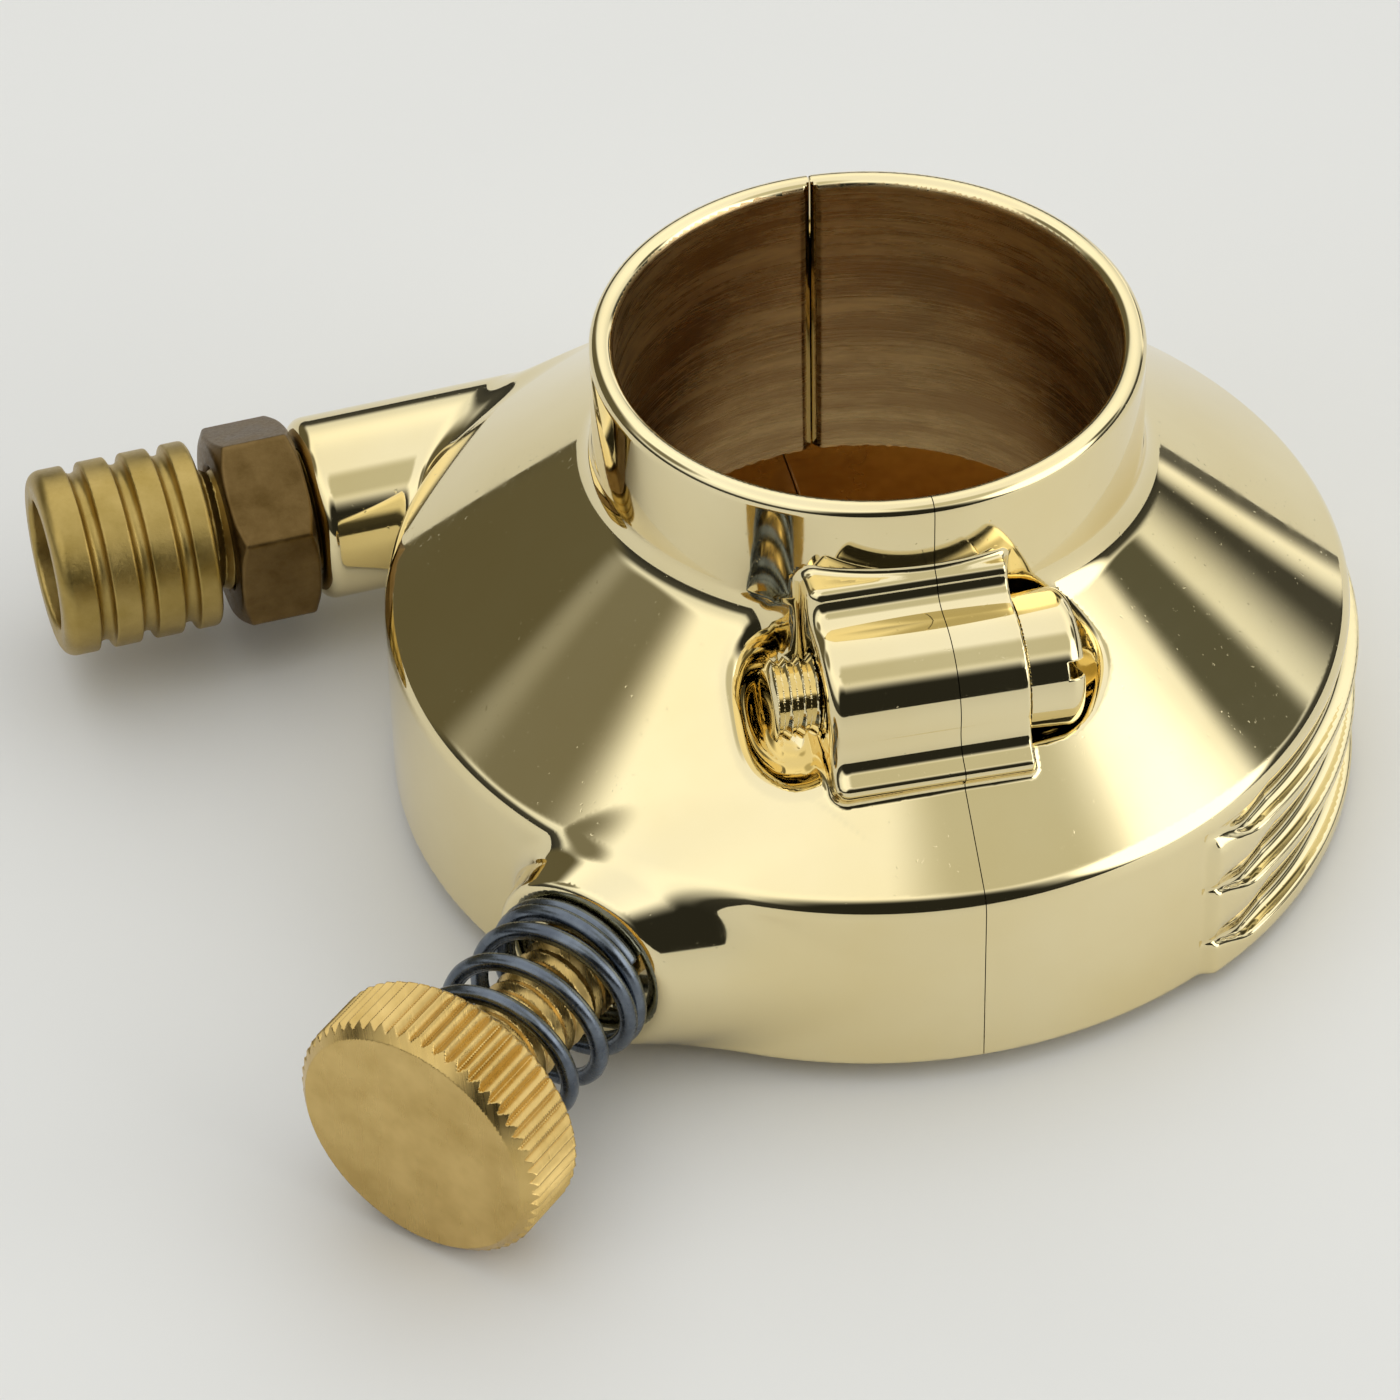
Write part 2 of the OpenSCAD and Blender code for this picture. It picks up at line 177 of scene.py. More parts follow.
def outer_profile(r, z):
    """The revolved outside: skirt, shoulder, cone, neck fillet, neck and lip."""
    qx, qz = r - SHOULDER_X, z - SKIRT_H
    along = qz * CONE_S - qx * CONE_C
    wedge = np.maximum(qx, qx * CONE_S + qz * CONE_C)
    d = np.where((qz > 0) & (along < 0), np.hypot(qx, qz), wedge) - SHOULDER_R
    up_cone = (z - CONE_HIGH[1]) * CONE_S - (r - CONE_HIGH[0]) * CONE_C
    fillet = FILLET_R - np.hypot(r - FILLET_X, z - FILLET_Z)
    d = np.where((z < FILLET_Z) & (up_cone > 0), fillet, np.minimum(d, r - NECK_R))
    lip = np.hypot(r - BORE_R - LIP_R, z - (RIM_Z - LIP_R)) - LIP_R
    return np.where(z > RIM_Z - LIP_R, lip, d)


def cavity(r, z):
    """The space inside: the bar's passage, the drum chamber and the neck's bore."""
    bar = np.maximum(r - BAR_R, z - FLOOR_T - 1)
    chamber = np.maximum(r - CHAMBER_R, np.maximum(FLOOR_T - z, z - LEDGE_Z))
    bore = np.maximum(r - BORE_R, LEDGE_Z - 1 - z)
    return np.minimum(np.minimum(bar, chamber), bore)


def friction_axes(x, y):
    """Distance outward along the friction screw and across it, towards the front."""
    return -(x + y) * math.sqrt(0.5), (x - y) * math.sqrt(0.5)


def friction_boss(x, y, z):
    """A round boss whose root flares into an ellipse, wider towards the front."""
    rho, across = friction_axes(x, y)
    t = np.clip((BOSS_END - rho) / BOSS_ROOT_LEN, -0.6, 1.5)
    half_w, half_h = BOSS_R + BOSS_FLARE_W * t, BOSS_R + BOSS_FLARE_H * t
    u, v = across - 3.75 * t, z - FRICTION_Z - 0.25 * t
    k0 = np.hypot(u / half_w, v / half_h)
    k1 = np.hypot(u / half_w**2, v / half_h**2) + 1e-6
    return meet(k0 * (k0 - 1) / k1, rho - BOSS_END, 0.45)


def cable_axes(x, y, z):
    """Distance outward along the cable, and from its axis."""
    dx, dy = x - CABLE_POINT[0], y - CABLE_POINT[1]
    t = dx * CABLE_OUT[0] + dy * CABLE_OUT[1]
    return t, np.hypot(dx * CABLE_OUT[1] - dy * CABLE_OUT[0], z - CABLE_POINT[2])


def lug_axes(side, y, z):
    """Place in a lug's section: up the cone, and out of it."""
    out, rise = side * y - LUG_Y, z - LUG_Z
    return rise * CONE_S - out * CONE_C, rise * CONE_C + out * CONE_S


def slab(a, b, a0, a1, b0, b1, k):
    """A rounded rectangle."""
    qa, qb = between(a, a0, a1) + k, between(b, b0, b1) + k
    return np.hypot(np.maximum(qa, 0), np.maximum(qb, 0)) + np.minimum(np.maximum(qa, qb), 0) - k


def lug(side, x, y, z):
    """Round dome over the screw, a flank down the cone and a pad up against the neck."""
    a, b = lug_axes(side, y, z)
    section = join(np.hypot(a, b) - LUG_R, slab(a, b, -FLANK_REACH, 0.5, -4.0, 1.1, 0.6), 1.2)
    pad = meet(side * y - PAD_Y, z - PAD_Z, 0.6)
    section = join(section, pad, 1.9)
    return meet(meet(section, LUG_LEFT - x, 0.9), x - LUG_RIGHT, 0.25)


def lug_pockets(side, x, y, z):
    """The round-bottomed trough at the screw's tail, and the scallop round its head."""
    dist = np.hypot(np.abs(y) - LUG_Y, z - LUG_Z)
    tail = meet(dist - TROUGH_R, between(x, LUG_LEFT - 3.6, LUG_LEFT + 0.4), 1.9)
    past = x - LUG_RIGHT
    taper = meet(dist - SCALLOP_R + 0.11 * past, (dist - 4.35 + 1.2 * (past - 3.4)) * 0.64, 0.8)
    head = np.maximum(taper, -0.05 - past)
    wall = NECK_R - 0.6 - np.hypot(x, y)
    tail, head = meet(tail, wall, 0.8), meet(head, wall, 0.5)
    near = y * side > 0
    return np.where(near, tail, 9.0), np.where(near, head, 9.0)


def louvred_outside(x, y, z, r):
    """The right side's outside: a raised panel with three gill-like scoops, each deepest at its ledge."""
    deg = np.degrees(np.arctan2(y, x))
    front, rear = smoothstep(PANEL_FRONT, PANEL_FRONT + 2, deg), smoothstep(PANEL_BACK, PANEL_BACK + 4, deg)
    on_panel = front * (1 - rear) * (x > 0)
    out = PANEL_PROUD * on_panel * (1 - smoothstep(SKIRT_H - 1.8, SKIRT_H - 0.2, z))
    d = outer_profile(r - out, z)
    lift = 1 - smoothstep(-61.0, -53.0, deg)
    opening = np.clip((deg - PANEL_FRONT) / 12.0, 0, 1) ** 0.45
    fade = opening * (1 - smoothstep(12.0, PANEL_BACK, deg)) * (x > 0)
    for ledge in LEDGES:
        u = z - ledge - TIP_LIFT * lift
        depth = LOUVRE_DEPTH * fade - 0.35
        back_wall = (SKIRT_R + PANEL_PROUD * on_panel - depth + LOUVRE_SLOPE * u - r) * 0.92
        d = cut(d, meet(back_wall, -u, 0.2 + 0.75 * fade**2), 0.33)
    return d


def shell(x, y, z, left):
    """One half of the housing; the flat cut at the split is made when it is meshed."""
    r = np.hypot(x, y)
    if left:
        d = outer_profile(r, z)
        rho, across = friction_axes(x, y)
        d = join(d, friction_boss(x, y, z), 0.9)
        t, off = cable_axes(x, y, z)
        d = join(d, meet(off - CABLE_BOSS_R, t + BOSS_BACK, 1.1), 1.5)
        d = np.maximum(d, y - SKIRT_R)
    else:
        d = louvred_outside(x, y, z, r)
    for side in (-1, 1):
        tail, head = lug_pockets(side, x, y, z)
        d = cut(cut(d, tail, 1.7), head, 0.5)
        d = np.where(y * side > 0, join(d, lug(side, x, y, z), 0.45), d)
    d = meet(d, -z, EDGE)
    d = np.maximum(d, -cavity(r, z))
    lug_off = np.hypot(np.abs(y) - LUG_Y, z - LUG_Z)
    in_lug = (x > LUG_LEFT - 0.5) & (x < LUG_RIGHT + 0.5)
    d = np.where(in_lug, np.maximum(d, SCREW_HOLE_R - lug_off), d)
    if left:
        off = np.hypot(across, z - FRICTION_Z)
        d = np.where(rho > 20, np.maximum(d, STEM_R + RUN_GAP - off), d)
        d = np.where((rho > 20) & (rho < SPRING_SEAT_FLOOR), np.maximum(d, SPRING_SEAT_R - off), d)
        t, off = cable_axes(x, y, z)
        d = np.where(t > -15, np.maximum(d, SHANK_R + RUN_GAP - off), d)
    else:
        d = np.where(y > 0, np.maximum(d, REAR_GAP - x), d)
    notch = (np.abs(x - REAR_GAP / 2) + np.abs(y - BORE_R) - REAR_NOTCH) * math.sqrt(0.5)
    d = np.where(z > LEDGE_Z - 0.5, np.maximum(d, -notch), d)
    return d


# ---------------------------------------------------------------------------
# Meshing
# ---------------------------------------------------------------------------
def slope(field, p, h):
    g = np.empty_like(p)
    for k in range(3):
        step = np.zeros(3)
        step[k] = h
        g[:, k] = field(*(p + step).T) - field(*(p - step).T)
    return g / np.maximum(np.linalg.norm(g, axis=1, keepdims=True), 1e-9)


def skin(field, lo, hi, voxel):
    """Points and quads on a field's surface, the points moved onto it exactly."""
    lo, hi = np.array(lo) - 3 * voxel, np.array(hi) + 3 * voxel
    n = np.ceil((hi - lo) / voxel).astype(int) + 1
    axes = [lo[k] + voxel * np.arange(n[k]) for k in range(3)]
    values = np.empty(n, np.float32)
    for i, x in enumerate(axes[0]):
        yy, zz = np.meshgrid(axes[1], axes[2], indexing="ij")
        values[i] = field(np.full_like(yy, x), yy, zz)
    grid = openvdb.FloatGrid(float(3 * voxel))
    grid.copyFromArray(np.clip(values, -3 * voxel, 3 * voxel))
    points, quads = grid.convertToQuads(isovalue=0.0)
    p = np.array(points, float) * voxel + lo
    for _ in range(3):
        move = field(*p.T)[:, None] * slope(field, p, voxel * 0.2)
        p -= np.clip(move, -voxel * 0.5, voxel * 0.5)
    return p, np.array(quads)


def mesh_piece(name, field, lo, hi, voxel, plane=None, keep_negative=True):
    """A piece made from a field, cut flat at x = plane where one is given."""
    p, quads = skin(field, lo, hi, voxel)
    me = bpy.data.meshes.new(name)
    me.from_pydata((p * MM).tolist(), [], quads[:, ::-1].tolist())
    me.update()
    bm = bmesh.new()
    bm.from_mesh(me)
    if plane is not None:
        cutter = bmesh.ops.bisect_plane(
            bm,
            geom=bm.verts[:] + bm.edges[:] + bm.faces[:],
            plane_co=(plane * MM, 0, 0),
            plane_no=(1, 0, 0),
            dist=1e-7,
            clear_outer=keep_negative,
            clear_inner=not keep_negative,
        )
        edges = [e for e in cutter["geom_cut"] if isinstance(e, bmesh.types.BMEdge)]
        bmesh.ops.triangle_fill(bm, use_beauty=False, use_dissolve=False, edges=edges)
    bmesh.ops.recalc_face_normals(bm, faces=bm.faces[:])
    bm.to_mesh(me)
    bm.free()
    normals_from_field(me, field, plane)
    ob = bpy.data.objects.new(name, me)
    bpy.context.scene.collection.objects.link(ob)
    return ob


def normals_from_field(me, field, plane):
    """Shading normals straight from the field, so that polished faces mirror cleanly."""
    co = np.empty(len(me.vertices) * 3)
    me.vertices.foreach_get("co", co)
    p = co.reshape(-1, 3) / MM
    normal = slope(field, p, 0.04)
    loops = np.empty(len(me.loops), int)
    me.loops.foreach_get("vertex_index", loops)
    per_loop = normal[loops]
    starts = np.empty(len(me.polygons), int)
    totals = np.empty(len(me.polygons), int)
    me.polygons.foreach_get("loop_start", starts)
    me.polygons.foreach_get("loop_total", totals)
    face_n = np.empty(len(me.polygons) * 3)
    me.polygons.foreach_get("normal", face_n)
    face_n = face_n.reshape(-1, 3)
    face_of = np.repeat(np.arange(len(totals)), totals)
    flat = face_n[face_of]
    turned = (per_loop * flat).sum(1) < 0.75
    per_loop[turned] = flat[turned]
    if plane is not None:
        centre = np.empty(len(me.polygons) * 3)
        me.polygons.foreach_get("center", centre)
        on_cut = np.abs(centre.reshape(-1, 3)[:, 0] / MM - plane) < 1e-3
        per_loop[on_cut[face_of]] = flat[on_cut[face_of]]
    me.polygons.foreach_set("use_smooth", np.ones(len(me.polygons), bool))
    me.normals_split_custom_set(per_loop.tolist())


VOXEL = 0.27
left = mesh_piece(
    "left_shell_polished",
    lambda x, y, z: shell(x, y, z, True),
    (-33.5, -31, 0),
    (1.2, 31, RIM_Z),
    VOXEL,
    plane=0.0,
)
right = mesh_piece(
    "right_shell_polished",
    lambda x, y, z: shell(x, y, z, False),
    (-1.2, -31, 0),
    (31, 31, RIM_Z),
    VOXEL,
    plane=FRONT_GAP,
    keep_negative=False,
)
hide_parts("left_shell")
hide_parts("right_shell")
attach(left, "left_half")
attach(right, "right_half")


# ---------------------------------------------------------------------------
# Small parts: turned, knurled and hexagonal, each a field on its own axis
# ---------------------------------------------------------------------------
def friction_frame(x, y, z):
    """Along the friction screw's axis, and the two directions across it."""
    rho, across = friction_axes(x, y)
    return rho, across, z - FRICTION_Z


def knob(x, y, z):
    """The knurled thumb knob, its threaded stem and its plain tip."""
    rho, u, v = friction_frame(x, y, z)
    r = np.hypot(u, v)
    tooth = np.abs((np.arctan2(v, u) / (2 * np.pi) * KNURLS) % 1 - 0.5) * 2
    rim = r - (KNOB_R - KNURL_DEPTH * tooth**1.3)
    body = meet(rim, between(rho, KNOB_FACE - KNOB_T, KNOB_FACE), 0.18)
    chamfer = (r - KNOB_R + FACE_CHAMFER + (rho - KNOB_FACE)) * math.sqrt(0.5)
    back_chamfer = (r - KNOB_R + BACK_CHAMFER - (rho - KNOB_FACE + KNOB_T)) * math.sqrt(0.5)
    body = np.maximum(np.maximum(body, chamfer), back_chamfer)
    thread = 0.28 * np.abs(((rho + np.arctan2(v, u) / (2 * np.pi)) % 1.0) - 0.5) * 2
    stem = np.maximum(r - STEM_R + thread, between(rho, STEM_FROM, STEM_TO))
    tip = np.maximum(r - TIP_R, between(rho, TIP_FROM, STEM_TO))
    return np.minimum(join(body, stem, 0.3), tip)


def barrel(x, y, z):
    """The cable adjuster: a grooved collar on a threaded shank, bored through."""
    t, r = cable_axes(x, y, z)
    dx, dy = x - CABLE_POINT[0], y - CABLE_POINT[1]
    turn = np.arctan2(dx * CABLE_OUT[1] - dy * CABLE_OUT[0], z - CABLE_POINT[2])
    groove = np.full_like(t, 9.0)
    for k in range(3):
        at = BARREL_LEN - GROOVE_FIRST - GROOVE_STEP * k
        ring = np.hypot(np.maximum(BARREL_R - 0.12 - r, 0), t - at) - GROOVE_R
        groove = np.minimum(groove, ring)
    collar = meet(r - BARREL_R, t - BARREL_LEN, 0.9)
    collar = meet(collar, -t, 0.35)
    collar = cut(collar, groove, 0.16)
    mouth = np.maximum(r - MOUTH_R, BARREL_LEN - MOUTH_DEEP - t)
    seat = np.maximum(r - SEAT_R, BARREL_LEN - SEAT_DEEP - t)
    collar = cut(collar, np.minimum(mouth, seat), 0.3)
    thread = 0.3 * np.abs(((t + turn / (2 * np.pi)) % 1.0) - 0.5) * 2
    shank = np.maximum(r - SHANK_R + thread, between(t, -11.9, 0.1))
    return np.maximum(np.minimum(collar, shank), CABLE_HOLE_R - r)


def locknut(x, y, z):
    """A bevelled hexagon on the adjuster's thread."""
    t, r = cable_axes(x, y, z)
    dx, dy = x - CABLE_POINT[0], y - CABLE_POINT[1]
    across, rise = dx * CABLE_OUT[1] - dy * CABLE_OUT[0], z - CABLE_POINT[2]
    half, corner = NUT_AF / 2, NUT_AF / math.sqrt(3)
    d = np.full_like(t, -9.0)
    for k in range(6):
        a = NUT_TURN + 60 * k
        d = meet(d, across * cos_deg(a) + rise * sin_deg(a) - half, 0.22)
    face = between(t, 0.3 - BOSS_BACK, 0.3 - BOSS_BACK + NUT_T)
    d = meet(d, face, 0.25)
    bevel = (r - corner + 1.0) * sin_deg(30) + face * cos_deg(30)
    d = meet(d, bevel, 0.15)
    return cut(d, r - SHANK_R - RUN_GAP, 0.3)


def clamp_screw(side, turn):
    """The field of a round-headed screw, its slot turned by this many degrees."""
    def field(x, y, z):
        u, v = y - side * LUG_Y, z - LUG_Z
        r = np.hypot(u, v)
        head = meet(r - HEAD_R, x - (LUG_RIGHT + HEAD_LEN), 1.05)
        head = np.maximum(head, LUG_RIGHT + 0.01 - x)
        slot_u = u * cos_deg(turn) + v * sin_deg(turn)
        head = cut(head, np.maximum(np.abs(slot_u) - 0.5, LUG_RIGHT + 2.4 - x), 0.12)
        lead = (np.arctan2(v, u) / (2 * np.pi)) * SCREW_PITCH
        thread = 0.42 * np.abs((((x + lead) / SCREW_PITCH) % 1.0) - 0.5) * 2
        end = LUG_LEFT - SCREW_TAIL
        shank = meet(r - SCREW_R + thread, end - x, 0.35)
        shank = np.maximum(shank, x - LUG_RIGHT - 1)
        return np.minimum(head, shank)

    return field


pieces_spec = [
    ("thumb_knob", knob, "friction_screw", "thumb_screw", (-42, -42, -2.3), (-18, -18, 14.4), 0.13),
    ("adjuster_barrel", barrel, "cable_adjuster", "adjuster", (-50, 13.5, 0.9), (-26, 28.5, 13.1), 0.13),
    ("adjuster_nut", locknut, "adjuster_locknut", "locknut", (-46, 13, 0), (-31, 30, 14), 0.13),
    ("front_screw", clamp_screw(-1, 62), "front_clamp_screw", "front_screw",
     (-10.6, -23.4, 17), (7.8, -15, 25.4), 0.1),
    ("rear_screw", clamp_screw(1, 20), "rear_clamp_screw", "rear_screw",
     (-10.6, 15, 17), (7.8, 23.4, 25.4), 0.1),
]
small = {}
for name, field, node, body, lo, hi, voxel in pieces_spec:
    ob = mesh_piece(name, field, lo, hi, voxel)
    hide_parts(node)
    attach(ob, body)
    small[name] = ob


# ---------------------------------------------------------------------------
# Spring: a round wire wound between the boss and the knob, its end turns closed
# ---------------------------------------------------------------------------
def spring_piece():
    wire, coil, steps, ring = 0.55, 4.78, 900, 14
    start, end, turns = BOSS_END + 0.02 + wire, KNOB_FACE - KNOB_T - 0.02 - wire, 5.6
    s = np.linspace(0, 1, steps)
    # two closed turns at the boss, open turns between, one closed turn at the knob
    rate = 0.22 + 1.0 * smoothstep(0.26, 0.36, s) * (1 - smoothstep(0.84, 0.93, s))
    run = np.concatenate([[0], np.cumsum((rate[1:] + rate[:-1]) / 2)])
    rho = start + (end - start) * run / run[-1]
    ang = 2 * np.pi * turns * s + 0.6
    centre = np.stack([rho, coil * np.cos(ang), coil * np.sin(ang)], -1)
    tangent = np.gradient(centre, axis=0)
    tangent /= np.linalg.norm(tangent, axis=1, keepdims=True)
    outward = np.stack([np.zeros(steps), np.cos(ang), np.sin(ang)], -1)
    side = np.cross(tangent, outward)
    side /= np.linalg.norm(side, axis=1, keepdims=True)
    outward = np.cross(side, tangent)
    phi = 2 * np.pi * np.arange(ring) / ring
    pts = (
        centre[:, None, :]
        + wire * np.cos(phi)[None, :, None] * outward[:, None, :]
        + wire * np.sin(phi)[None, :, None] * side[:, None, :]
    ).reshape(-1, 3)
    # from (along, across, up) back to the frame's axes
    h = math.sqrt(0.5)
    xyz = np.stack(
        [-h * pts[:, 0] + h * pts[:, 1], -h * pts[:, 0] - h * pts[:, 1], pts[:, 2] + FRICTION_Z], -1
    )
    faces = []
    for i in range(steps - 1):
        for k in range(ring):
            n = (k + 1) % ring
            faces.append((i * ring + k, i * ring + n, (i + 1) * ring + n, (i + 1) * ring + k))
    faces.append(tuple(range(ring - 1, -1, -1)))
    faces.append(tuple((steps - 1) * ring + k for k in range(ring)))
    me = bpy.data.meshes.new("friction_spring")
    me.from_pydata((xyz * MM).tolist(), [], faces)
    bm = bmesh.new()
    bm.from_mesh(me)
    bmesh.ops.recalc_face_normals(bm, faces=bm.faces[:])
    bm.to_mesh(me)
    bm.free()
    me.polygons.foreach_set("use_smooth", np.ones(len(me.polygons), bool))
    ob = bpy.data.objects.new("friction_spring", me)
    bpy.context.scene.collection.objects.link(ob)
    return ob


spring = spring_piece()
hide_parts("tension_spring")


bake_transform(spring)


# ---------------------------------------------------------------------------
# Materials
# ---------------------------------------------------------------------------
class Nodes:
    """A short way to write a node tree."""

    def __init__(self, name, colour, rough, metallic=1.0):
        self.m = bpy.data.materials.new(name)
        self.m.use_nodes = True
        self.t = self.m.node_tree
        self.s = self.t.nodes["Principled BSDF"]
        self.s.inputs["Base Color"].default_value = (*colour, 1)
        self.s.inputs["Roughness"].default_value = rough
        self.s.inputs["Metallic"].default_value = metallic
        self.place = self.t.nodes.new("ShaderNodeTexCoord").outputs["Object"]

    def scaled(self, scale, turn=(0, 0, 0)):
        n = self.t.nodes.new("ShaderNodeMapping")
        n.inputs["Scale"].default_value = scale
        n.inputs["Rotation"].default_value = turn
        self.t.links.new(self.place, n.inputs["Vector"])
        return n.outputs["Vector"]

    def noise(self, vector, scale, detail=3.0, rough=0.5):
        n = self.t.nodes.new("ShaderNodeTexNoise")
        n.inputs["Scale"].default_value = scale
        n.inputs["Detail"].default_value = detail
        n.inputs["Roughness"].default_value = rough
        self.t.links.new(vector, n.inputs["Vector"])
        return n.outputs["Fac"]

    def span(self, value, a, b, c, d):
        """value, from a..b to c..d."""
        n = self.t.nodes.new("ShaderNodeMapRange")
        for key, v in (("From Min", a), ("From Max", b), ("To Min", c), ("To Max", d)):
            n.inputs[key].default_value = v
        self.t.links.new(value, n.inputs["Value"])
        return n.outputs["Result"]

    def tint(self, value, low, high):
        n = self.t.nodes.new("ShaderNodeMix")
        n.data_type = "RGBA"
        n.inputs["A"].default_value = (*low, 1)
        n.inputs["B"].default_value = (*high, 1)
        self.t.links.new(value, n.inputs["Factor"])
        return n.outputs["Result"]

    def math(self, op, a, b):
        n = self.t.nodes.new("ShaderNodeMath")
        n.operation = op
        for i, v in enumerate((a, b)):
            if isinstance(v, (int, float)):
                n.inputs[i].default_value = v
            else:
                self.t.links.new(v, n.inputs[i])
        return n.outputs[0]

    def to(self, socket, value):
        self.t.links.new(value, self.s.inputs[socket])

    def bump(self, height, strength, distance):
        n = self.t.nodes.new("ShaderNodeBump")
        n.inputs["Strength"].default_value = strength
        n.inputs["Distance"].default_value = distance
        self.t.links.new(height, n.inputs["Height"])
        if self.s.inputs["Normal"].links:
            self.t.links.new(self.s.inputs["Normal"].links[0].from_socket, n.inputs["Normal"])
        self.t.links.new(n.outputs["Normal"], self.s.inputs["Normal"])


def polished_brass():
    m = Nodes("mirror_brass", (0.85, 0.73, 0.43), 0.04)
    cloud = m.noise(m.place, 60, 4, 0.55)
    m.to("Base Color", m.tint(m.span(cloud, 0.3, 0.7, 0, 1), (0.83, 0.70, 0.39), (0.88, 0.77, 0.48)))
    wipe = m.noise(m.scaled((1, 1, 3)), 220, 5, 0.65)
    m.to("Roughness", m.span(wipe, 0.35, 0.75, 0.025, 0.085))
    m.bump(m.noise(m.place, 38, 2, 0.4), 0.10, 0.0012)
    pits = m.noise(m.place, 2600, 2, 0.6)
    m.bump(m.span(pits, 0.70, 0.78, 1, 0), 0.12, 0.00004)
    return m.m


def brushed_bore_painted_shade():
    m = Nodes("brushed_bore_painted_shade", (0.66, 0.50, 0.24), 0.3)
    lines = m.noise(m.scaled((10, 10, 1500)), 4, 6, 0.7)
    patch = m.noise(m.scaled((1, 1, 7)), 60, 5, 0.75)
    # Base colour: a darker coppery tone than the polished brass, painted shade and interreflection for the
    # hollow bore and chamber; its bright golden streak patches are painted highlights. The brushing itself
    # is real, in the roughness and the fine-line bump.
    m.to("Base Color", m.tint(m.span(patch, 0.42, 0.66, 0, 1), (0.60, 0.42, 0.21), (0.92, 0.72, 0.38)))
    wear_rough = m.span(patch, 0.3, 0.7, -0.04, 0.10)
    m.to("Roughness", m.math("ADD", m.span(lines, 0.3, 0.7, 0.18, 0.30), wear_rough))
    m.bump(lines, 0.35, 0.00006)
    return m.m


def turned_brass():
    m = Nodes("turned_brass", (0.62, 0.44, 0.15), 0.3)
    h = math.sqrt(0.5)
    strokes = m.noise(m.scaled((700, 30, 30), (0, 0, math.radians(-45))), 2.2, 6, 0.7)
    patch = m.noise(m.place, 260, 3, 0.6)
    m.to("Base Color", m.tint(m.span(patch, 0.3, 0.7, 0, 1), (0.54, 0.37, 0.12), (0.72, 0.52, 0.20)))
    wear_rough = m.span(patch, 0.3, 0.7, 0, 0.08)
    m.to("Roughness", m.math("ADD", m.span(strokes, 0.3, 0.7, 0.16, 0.34), wear_rough))
    m.bump(strokes, 0.4, 0.00005)
    return m.m


def satin_barrel():
    m = Nodes("satin_brass_barrel", (0.44, 0.31, 0.09), 0.4)
    grain = m.noise(m.place, 5200, 3, 0.7)
    patch = m.noise(m.place, 320, 4, 0.6)
    m.to("Base Color", m.tint(m.span(patch, 0.3, 0.7, 0, 1), (0.37, 0.26, 0.07), (0.52, 0.38, 0.13)))
    wear_rough = m.span(patch, 0.3, 0.7, -0.05, 0.06)
    m.to("Roughness", m.math("ADD", m.span(grain, 0.3, 0.7, 0.30, 0.44), wear_rough))
    m.bump(grain, 0.35, 0.00004)
    return m.m


def bronze_nut():
    m = Nodes("bronze_nut", (0.16, 0.10, 0.035), 0.4)
    grain = m.noise(m.place, 3800, 4, 0.7)
    patch = m.noise(m.place, 420, 4, 0.65)
    m.to("Base Color", m.tint(m.span(patch, 0.3, 0.7, 0, 1), (0.12, 0.072, 0.022), (0.21, 0.135, 0.05)))
    wear_rough = m.span(patch, 0.3, 0.7, -0.04, 0.06)
    m.to("Roughness", m.math("ADD", m.span(grain, 0.3, 0.7, 0.30, 0.46), wear_rough))
    m.bump(grain, 0.4, 0.00004)
    return m.m


def spring_steel():
    m = Nodes("oiled_spring_steel", (0.13, 0.15, 0.18), 0.26)
    patch = m.noise(m.place, 500, 3, 0.6)
    m.to("Base Color", m.tint(m.span(patch, 0.3, 0.7, 0, 1), (0.09, 0.105, 0.13), (0.19, 0.22, 0.26)))
    m.to("Roughness", m.span(m.noise(m.place, 1500, 4, 0.7), 0.3, 0.7, 0.16, 0.34))
    m.bump(m.noise(m.place, 3000, 3, 0.6), 0.25, 0.00003)
    return m.m


def plain_steel():
    m = Nodes("turned_steel", (0.55, 0.55, 0.56), 0.3)
    lines = m.noise(m.scaled((60, 60, 700)), 5, 4, 0.6)
    m.to("Roughness", m.span(lines, 0.3, 0.7, 0.22, 0.4))
    m.to("Base Color", m.tint(lines, (0.48, 0.48, 0.49), (0.62, 0.62, 0.63)))
    m.bump(lines, 0.2, 0.00003)
    return m.m


def leather():
    m = Nodes("liner_leather", (0.10, 0.065, 0.04), 0.75, 0.0)
    grain = m.noise(m.place, 2200, 5, 0.65)
    m.to("Base Color", m.tint(grain, (0.06, 0.035, 0.02), (0.16, 0.10, 0.06)))
    m.to("Roughness", m.span(grain, 0.3, 0.7, 0.6, 0.9))
    m.bump(grain, 0.6, 0.0001)
    return m.m


def wear(ob, slot, *materials):
    ob.data.materials.clear()
    for mat in materials:
        ob.data.materials.append(mat)


brass, bore = polished_brass(), brushed_bore_painted_shade()
turned, steel = turned_brass(), plain_steel()
for ob in (left, right):
    wear(ob, "polished_brass", brass, bore)
    centre = np.empty(len(ob.data.polygons) * 3)
    ob.data.polygons.foreach_get("center", centre)
    centre = centre.reshape(-1, 3) / MM
    from_axis, height = np.hypot(centre[:, 0], centre[:, 1]), centre[:, 2]
    # Bore and chamber faces take the bore material: its darker coppery colour is painted shade for the
    # hollow, while its rougher machined finish is real.
    near_chamber = (from_axis < CHAMBER_R + 0.12) & (height < LEDGE_Z + 0.12) & (height > 0.1)
    machined_and_painted_shade = (from_axis < BORE_R + 0.12) | near_chamber
    ob.data.polygons.foreach_set("material_index", machined_and_painted_shade.astype(np.int32))
wear(small["thumb_knob"], "satin_brass", turned)
wear(small["adjuster_barrel"], "matt_brass", satin_barrel())
wear(small["adjuster_nut"], "dark_brass", bronze_nut())
wear(small["front_screw"], "screw_brass", brass)
wear(small["rear_screw"], "screw_brass", brass)
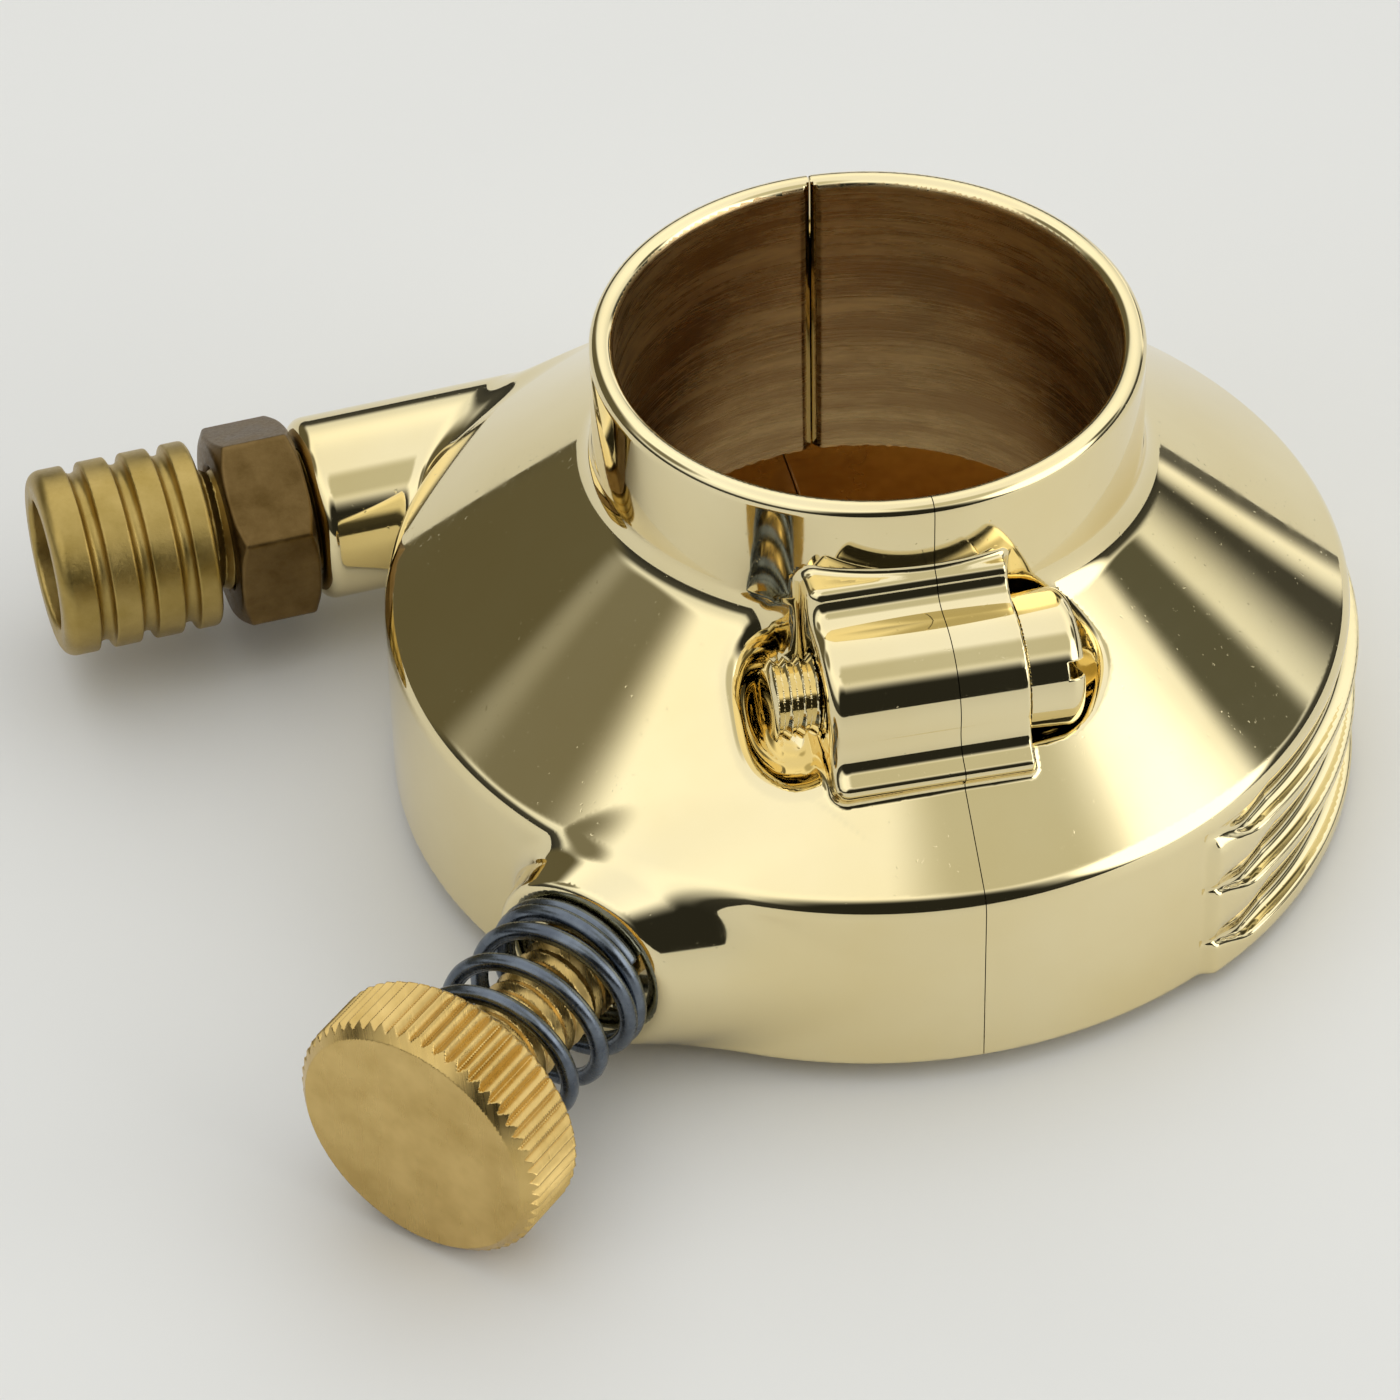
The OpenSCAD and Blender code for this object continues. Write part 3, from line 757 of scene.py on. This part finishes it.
wear(spring, "spring_steel", spring_steel())
for node in ("locating_dowels", "friction_shoe", "cable_ferrule"):
    wear(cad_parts[node], "dowel_steel", steel)
wear(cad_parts["shoe_liner"], "liner_leather", leather())

# ---------------------------------------------------------------------------
# Studio and camera
# ---------------------------------------------------------------------------
TILT = 1.7
ACROSS = Vector((-1, 1, 0)).normalized()
foot = Vector((SKIRT_R * cos_deg(45), SKIRT_R * sin_deg(45), 0)) * MM
floor_me = bpy.data.meshes.new("floor")
floor_me.from_pydata([(-3, -3, 0), (3, -3, 0), (3, 3, 0), (-3, 3, 0)], [], [(0, 1, 2, 3)])
floor = bpy.data.objects.new("floor", floor_me)
bpy.context.scene.collection.objects.link(floor)
floor.matrix_world = Matrix.Translation(foot) @ Matrix.Rotation(math.radians(-TILT), 4, ACROSS)
paper = Nodes("floor_paper", (0.80, 0.80, 0.79), 0.55, 0.0)
paper.to("Base Color", paper.tint(paper.noise(paper.place, 30, 3), (0.79, 0.79, 0.78), (0.82, 0.82, 0.81)))
floor_me.materials.append(paper.m)


def studio_world():
    """A plain studio: bright ceiling and window side, dark low walls with softer panels."""
    world = bpy.data.worlds.new("studio")
    bpy.context.scene.world = world
    world.use_nodes = True
    t = world.node_tree
    way = t.nodes.new("ShaderNodeTexCoord").outputs["Generated"]
    split = t.nodes.new("ShaderNodeSeparateXYZ")
    t.links.new(way, split.inputs[0])
    ramp = t.nodes.new("ShaderNodeValToRGB")
    ramp.color_ramp.interpolation = "EASE"
    stops = [
        (0.00, (0.60, 0.60, 0.58)),
        (0.46, (0.40, 0.40, 0.38)),
        (0.50, (0.03, 0.03, 0.028)),
        (0.60, (0.05, 0.05, 0.045)),
        (0.69, (0.74, 0.75, 0.73)),
        (0.86, (1.00, 1.00, 0.97)),
        (1.00, (0.84, 0.85, 0.86)),
    ]
    span = t.nodes.new("ShaderNodeMapRange")
    span.inputs["From Min"].default_value = -1
    span.inputs["From Max"].default_value = 1
    t.links.new(split.outputs["Z"], span.inputs["Value"])
    t.links.new(span.outputs["Result"], ramp.inputs["Fac"])
    while len(ramp.color_ramp.elements) < len(stops):
        ramp.color_ramp.elements.new(0.5)
    for e, (at, colour) in zip(ramp.color_ramp.elements, stops):
        e.position = at
        e.color = (*colour, 1)
    result = ramp.outputs["Color"]
    # panels: azimuth and elevation of the middle, half width, softness, colour
    panels = [
        (-92, 14, 30, 9, (0.018, 0.018, 0.015)),
        (-32, 22, 23, 4, (1.70, 1.70, 1.66)),
        (130, 14, 25, 7, (0.100, 0.090, 0.056)),
        (163, 38, 12, 6, (0.17, 0.16, 0.12)),
        (47, 6, 14, 3, (0.90, 0.90, 0.86)),
        (44, 3, 7, 2, (0.10, 0.10, 0.095)),
        (5, 28, 8, 3, (0.09, 0.09, 0.07)),
        (-58, 58, 15, 6, (0.50, 0.49, 0.41)),
    ]
    for az, el, wide, soft, colour in panels:
        d = (cos_deg(az) * cos_deg(el), sin_deg(az) * cos_deg(el), sin_deg(el))
        dot = t.nodes.new("ShaderNodeVectorMath")
        dot.operation = "DOT_PRODUCT"
        dot.inputs[1].default_value = d
        t.links.new(way, dot.inputs[0])
        edge = t.nodes.new("ShaderNodeMapRange")
        edge.interpolation_type = "SMOOTHSTEP"
        edge.inputs["From Min"].default_value = cos_deg(wide + soft)
        edge.inputs["From Max"].default_value = cos_deg(wide - soft)
        t.links.new(dot.outputs["Value"], edge.inputs["Value"])
        mix = t.nodes.new("ShaderNodeMix")
        mix.data_type = "RGBA"
        t.links.new(edge.outputs["Result"], mix.inputs["Factor"])
        t.links.new(result, mix.inputs["A"])
        mix.inputs["B"].default_value = (*colour, 1)
        result = mix.outputs["Result"]
    bg = t.nodes["Background"]
    t.links.new(result, bg.inputs["Color"])
    bg.inputs["Strength"].default_value = 1.25


studio_world()
bpy.context.scene.view_settings.view_transform = "Standard"

AZ, EL, ROLL = -11.33, 41.45, -1.33
DIST, FOCAL = 360.47, 6000 / 1400
back = Vector((sin_deg(AZ) * cos_deg(EL), -cos_deg(AZ) * cos_deg(EL), sin_deg(EL)))
side_v = Vector((cos_deg(AZ), sin_deg(AZ), 0))
up_v = back.cross(side_v)
side_r = side_v * cos_deg(ROLL) + up_v * sin_deg(ROLL)
up_r = up_v * cos_deg(ROLL) - side_v * sin_deg(ROLL)
cam_data = bpy.data.cameras.new("camera")
cam_data.sensor_width = 36
cam_data.lens = 36 * FOCAL
cam = bpy.data.objects.new("camera", cam_data)
bpy.context.scene.collection.objects.link(cam)
target = Vector((-13.01, -11.29, 15)) * MM
cam.matrix_world = Matrix.Translation(target + back * DIST * MM) @ Matrix(
    (side_r, up_r, back)
).transposed().to_4x4()
cam_data.clip_start, cam_data.clip_end = 0.01, 20
bpy.context.scene.camera = cam
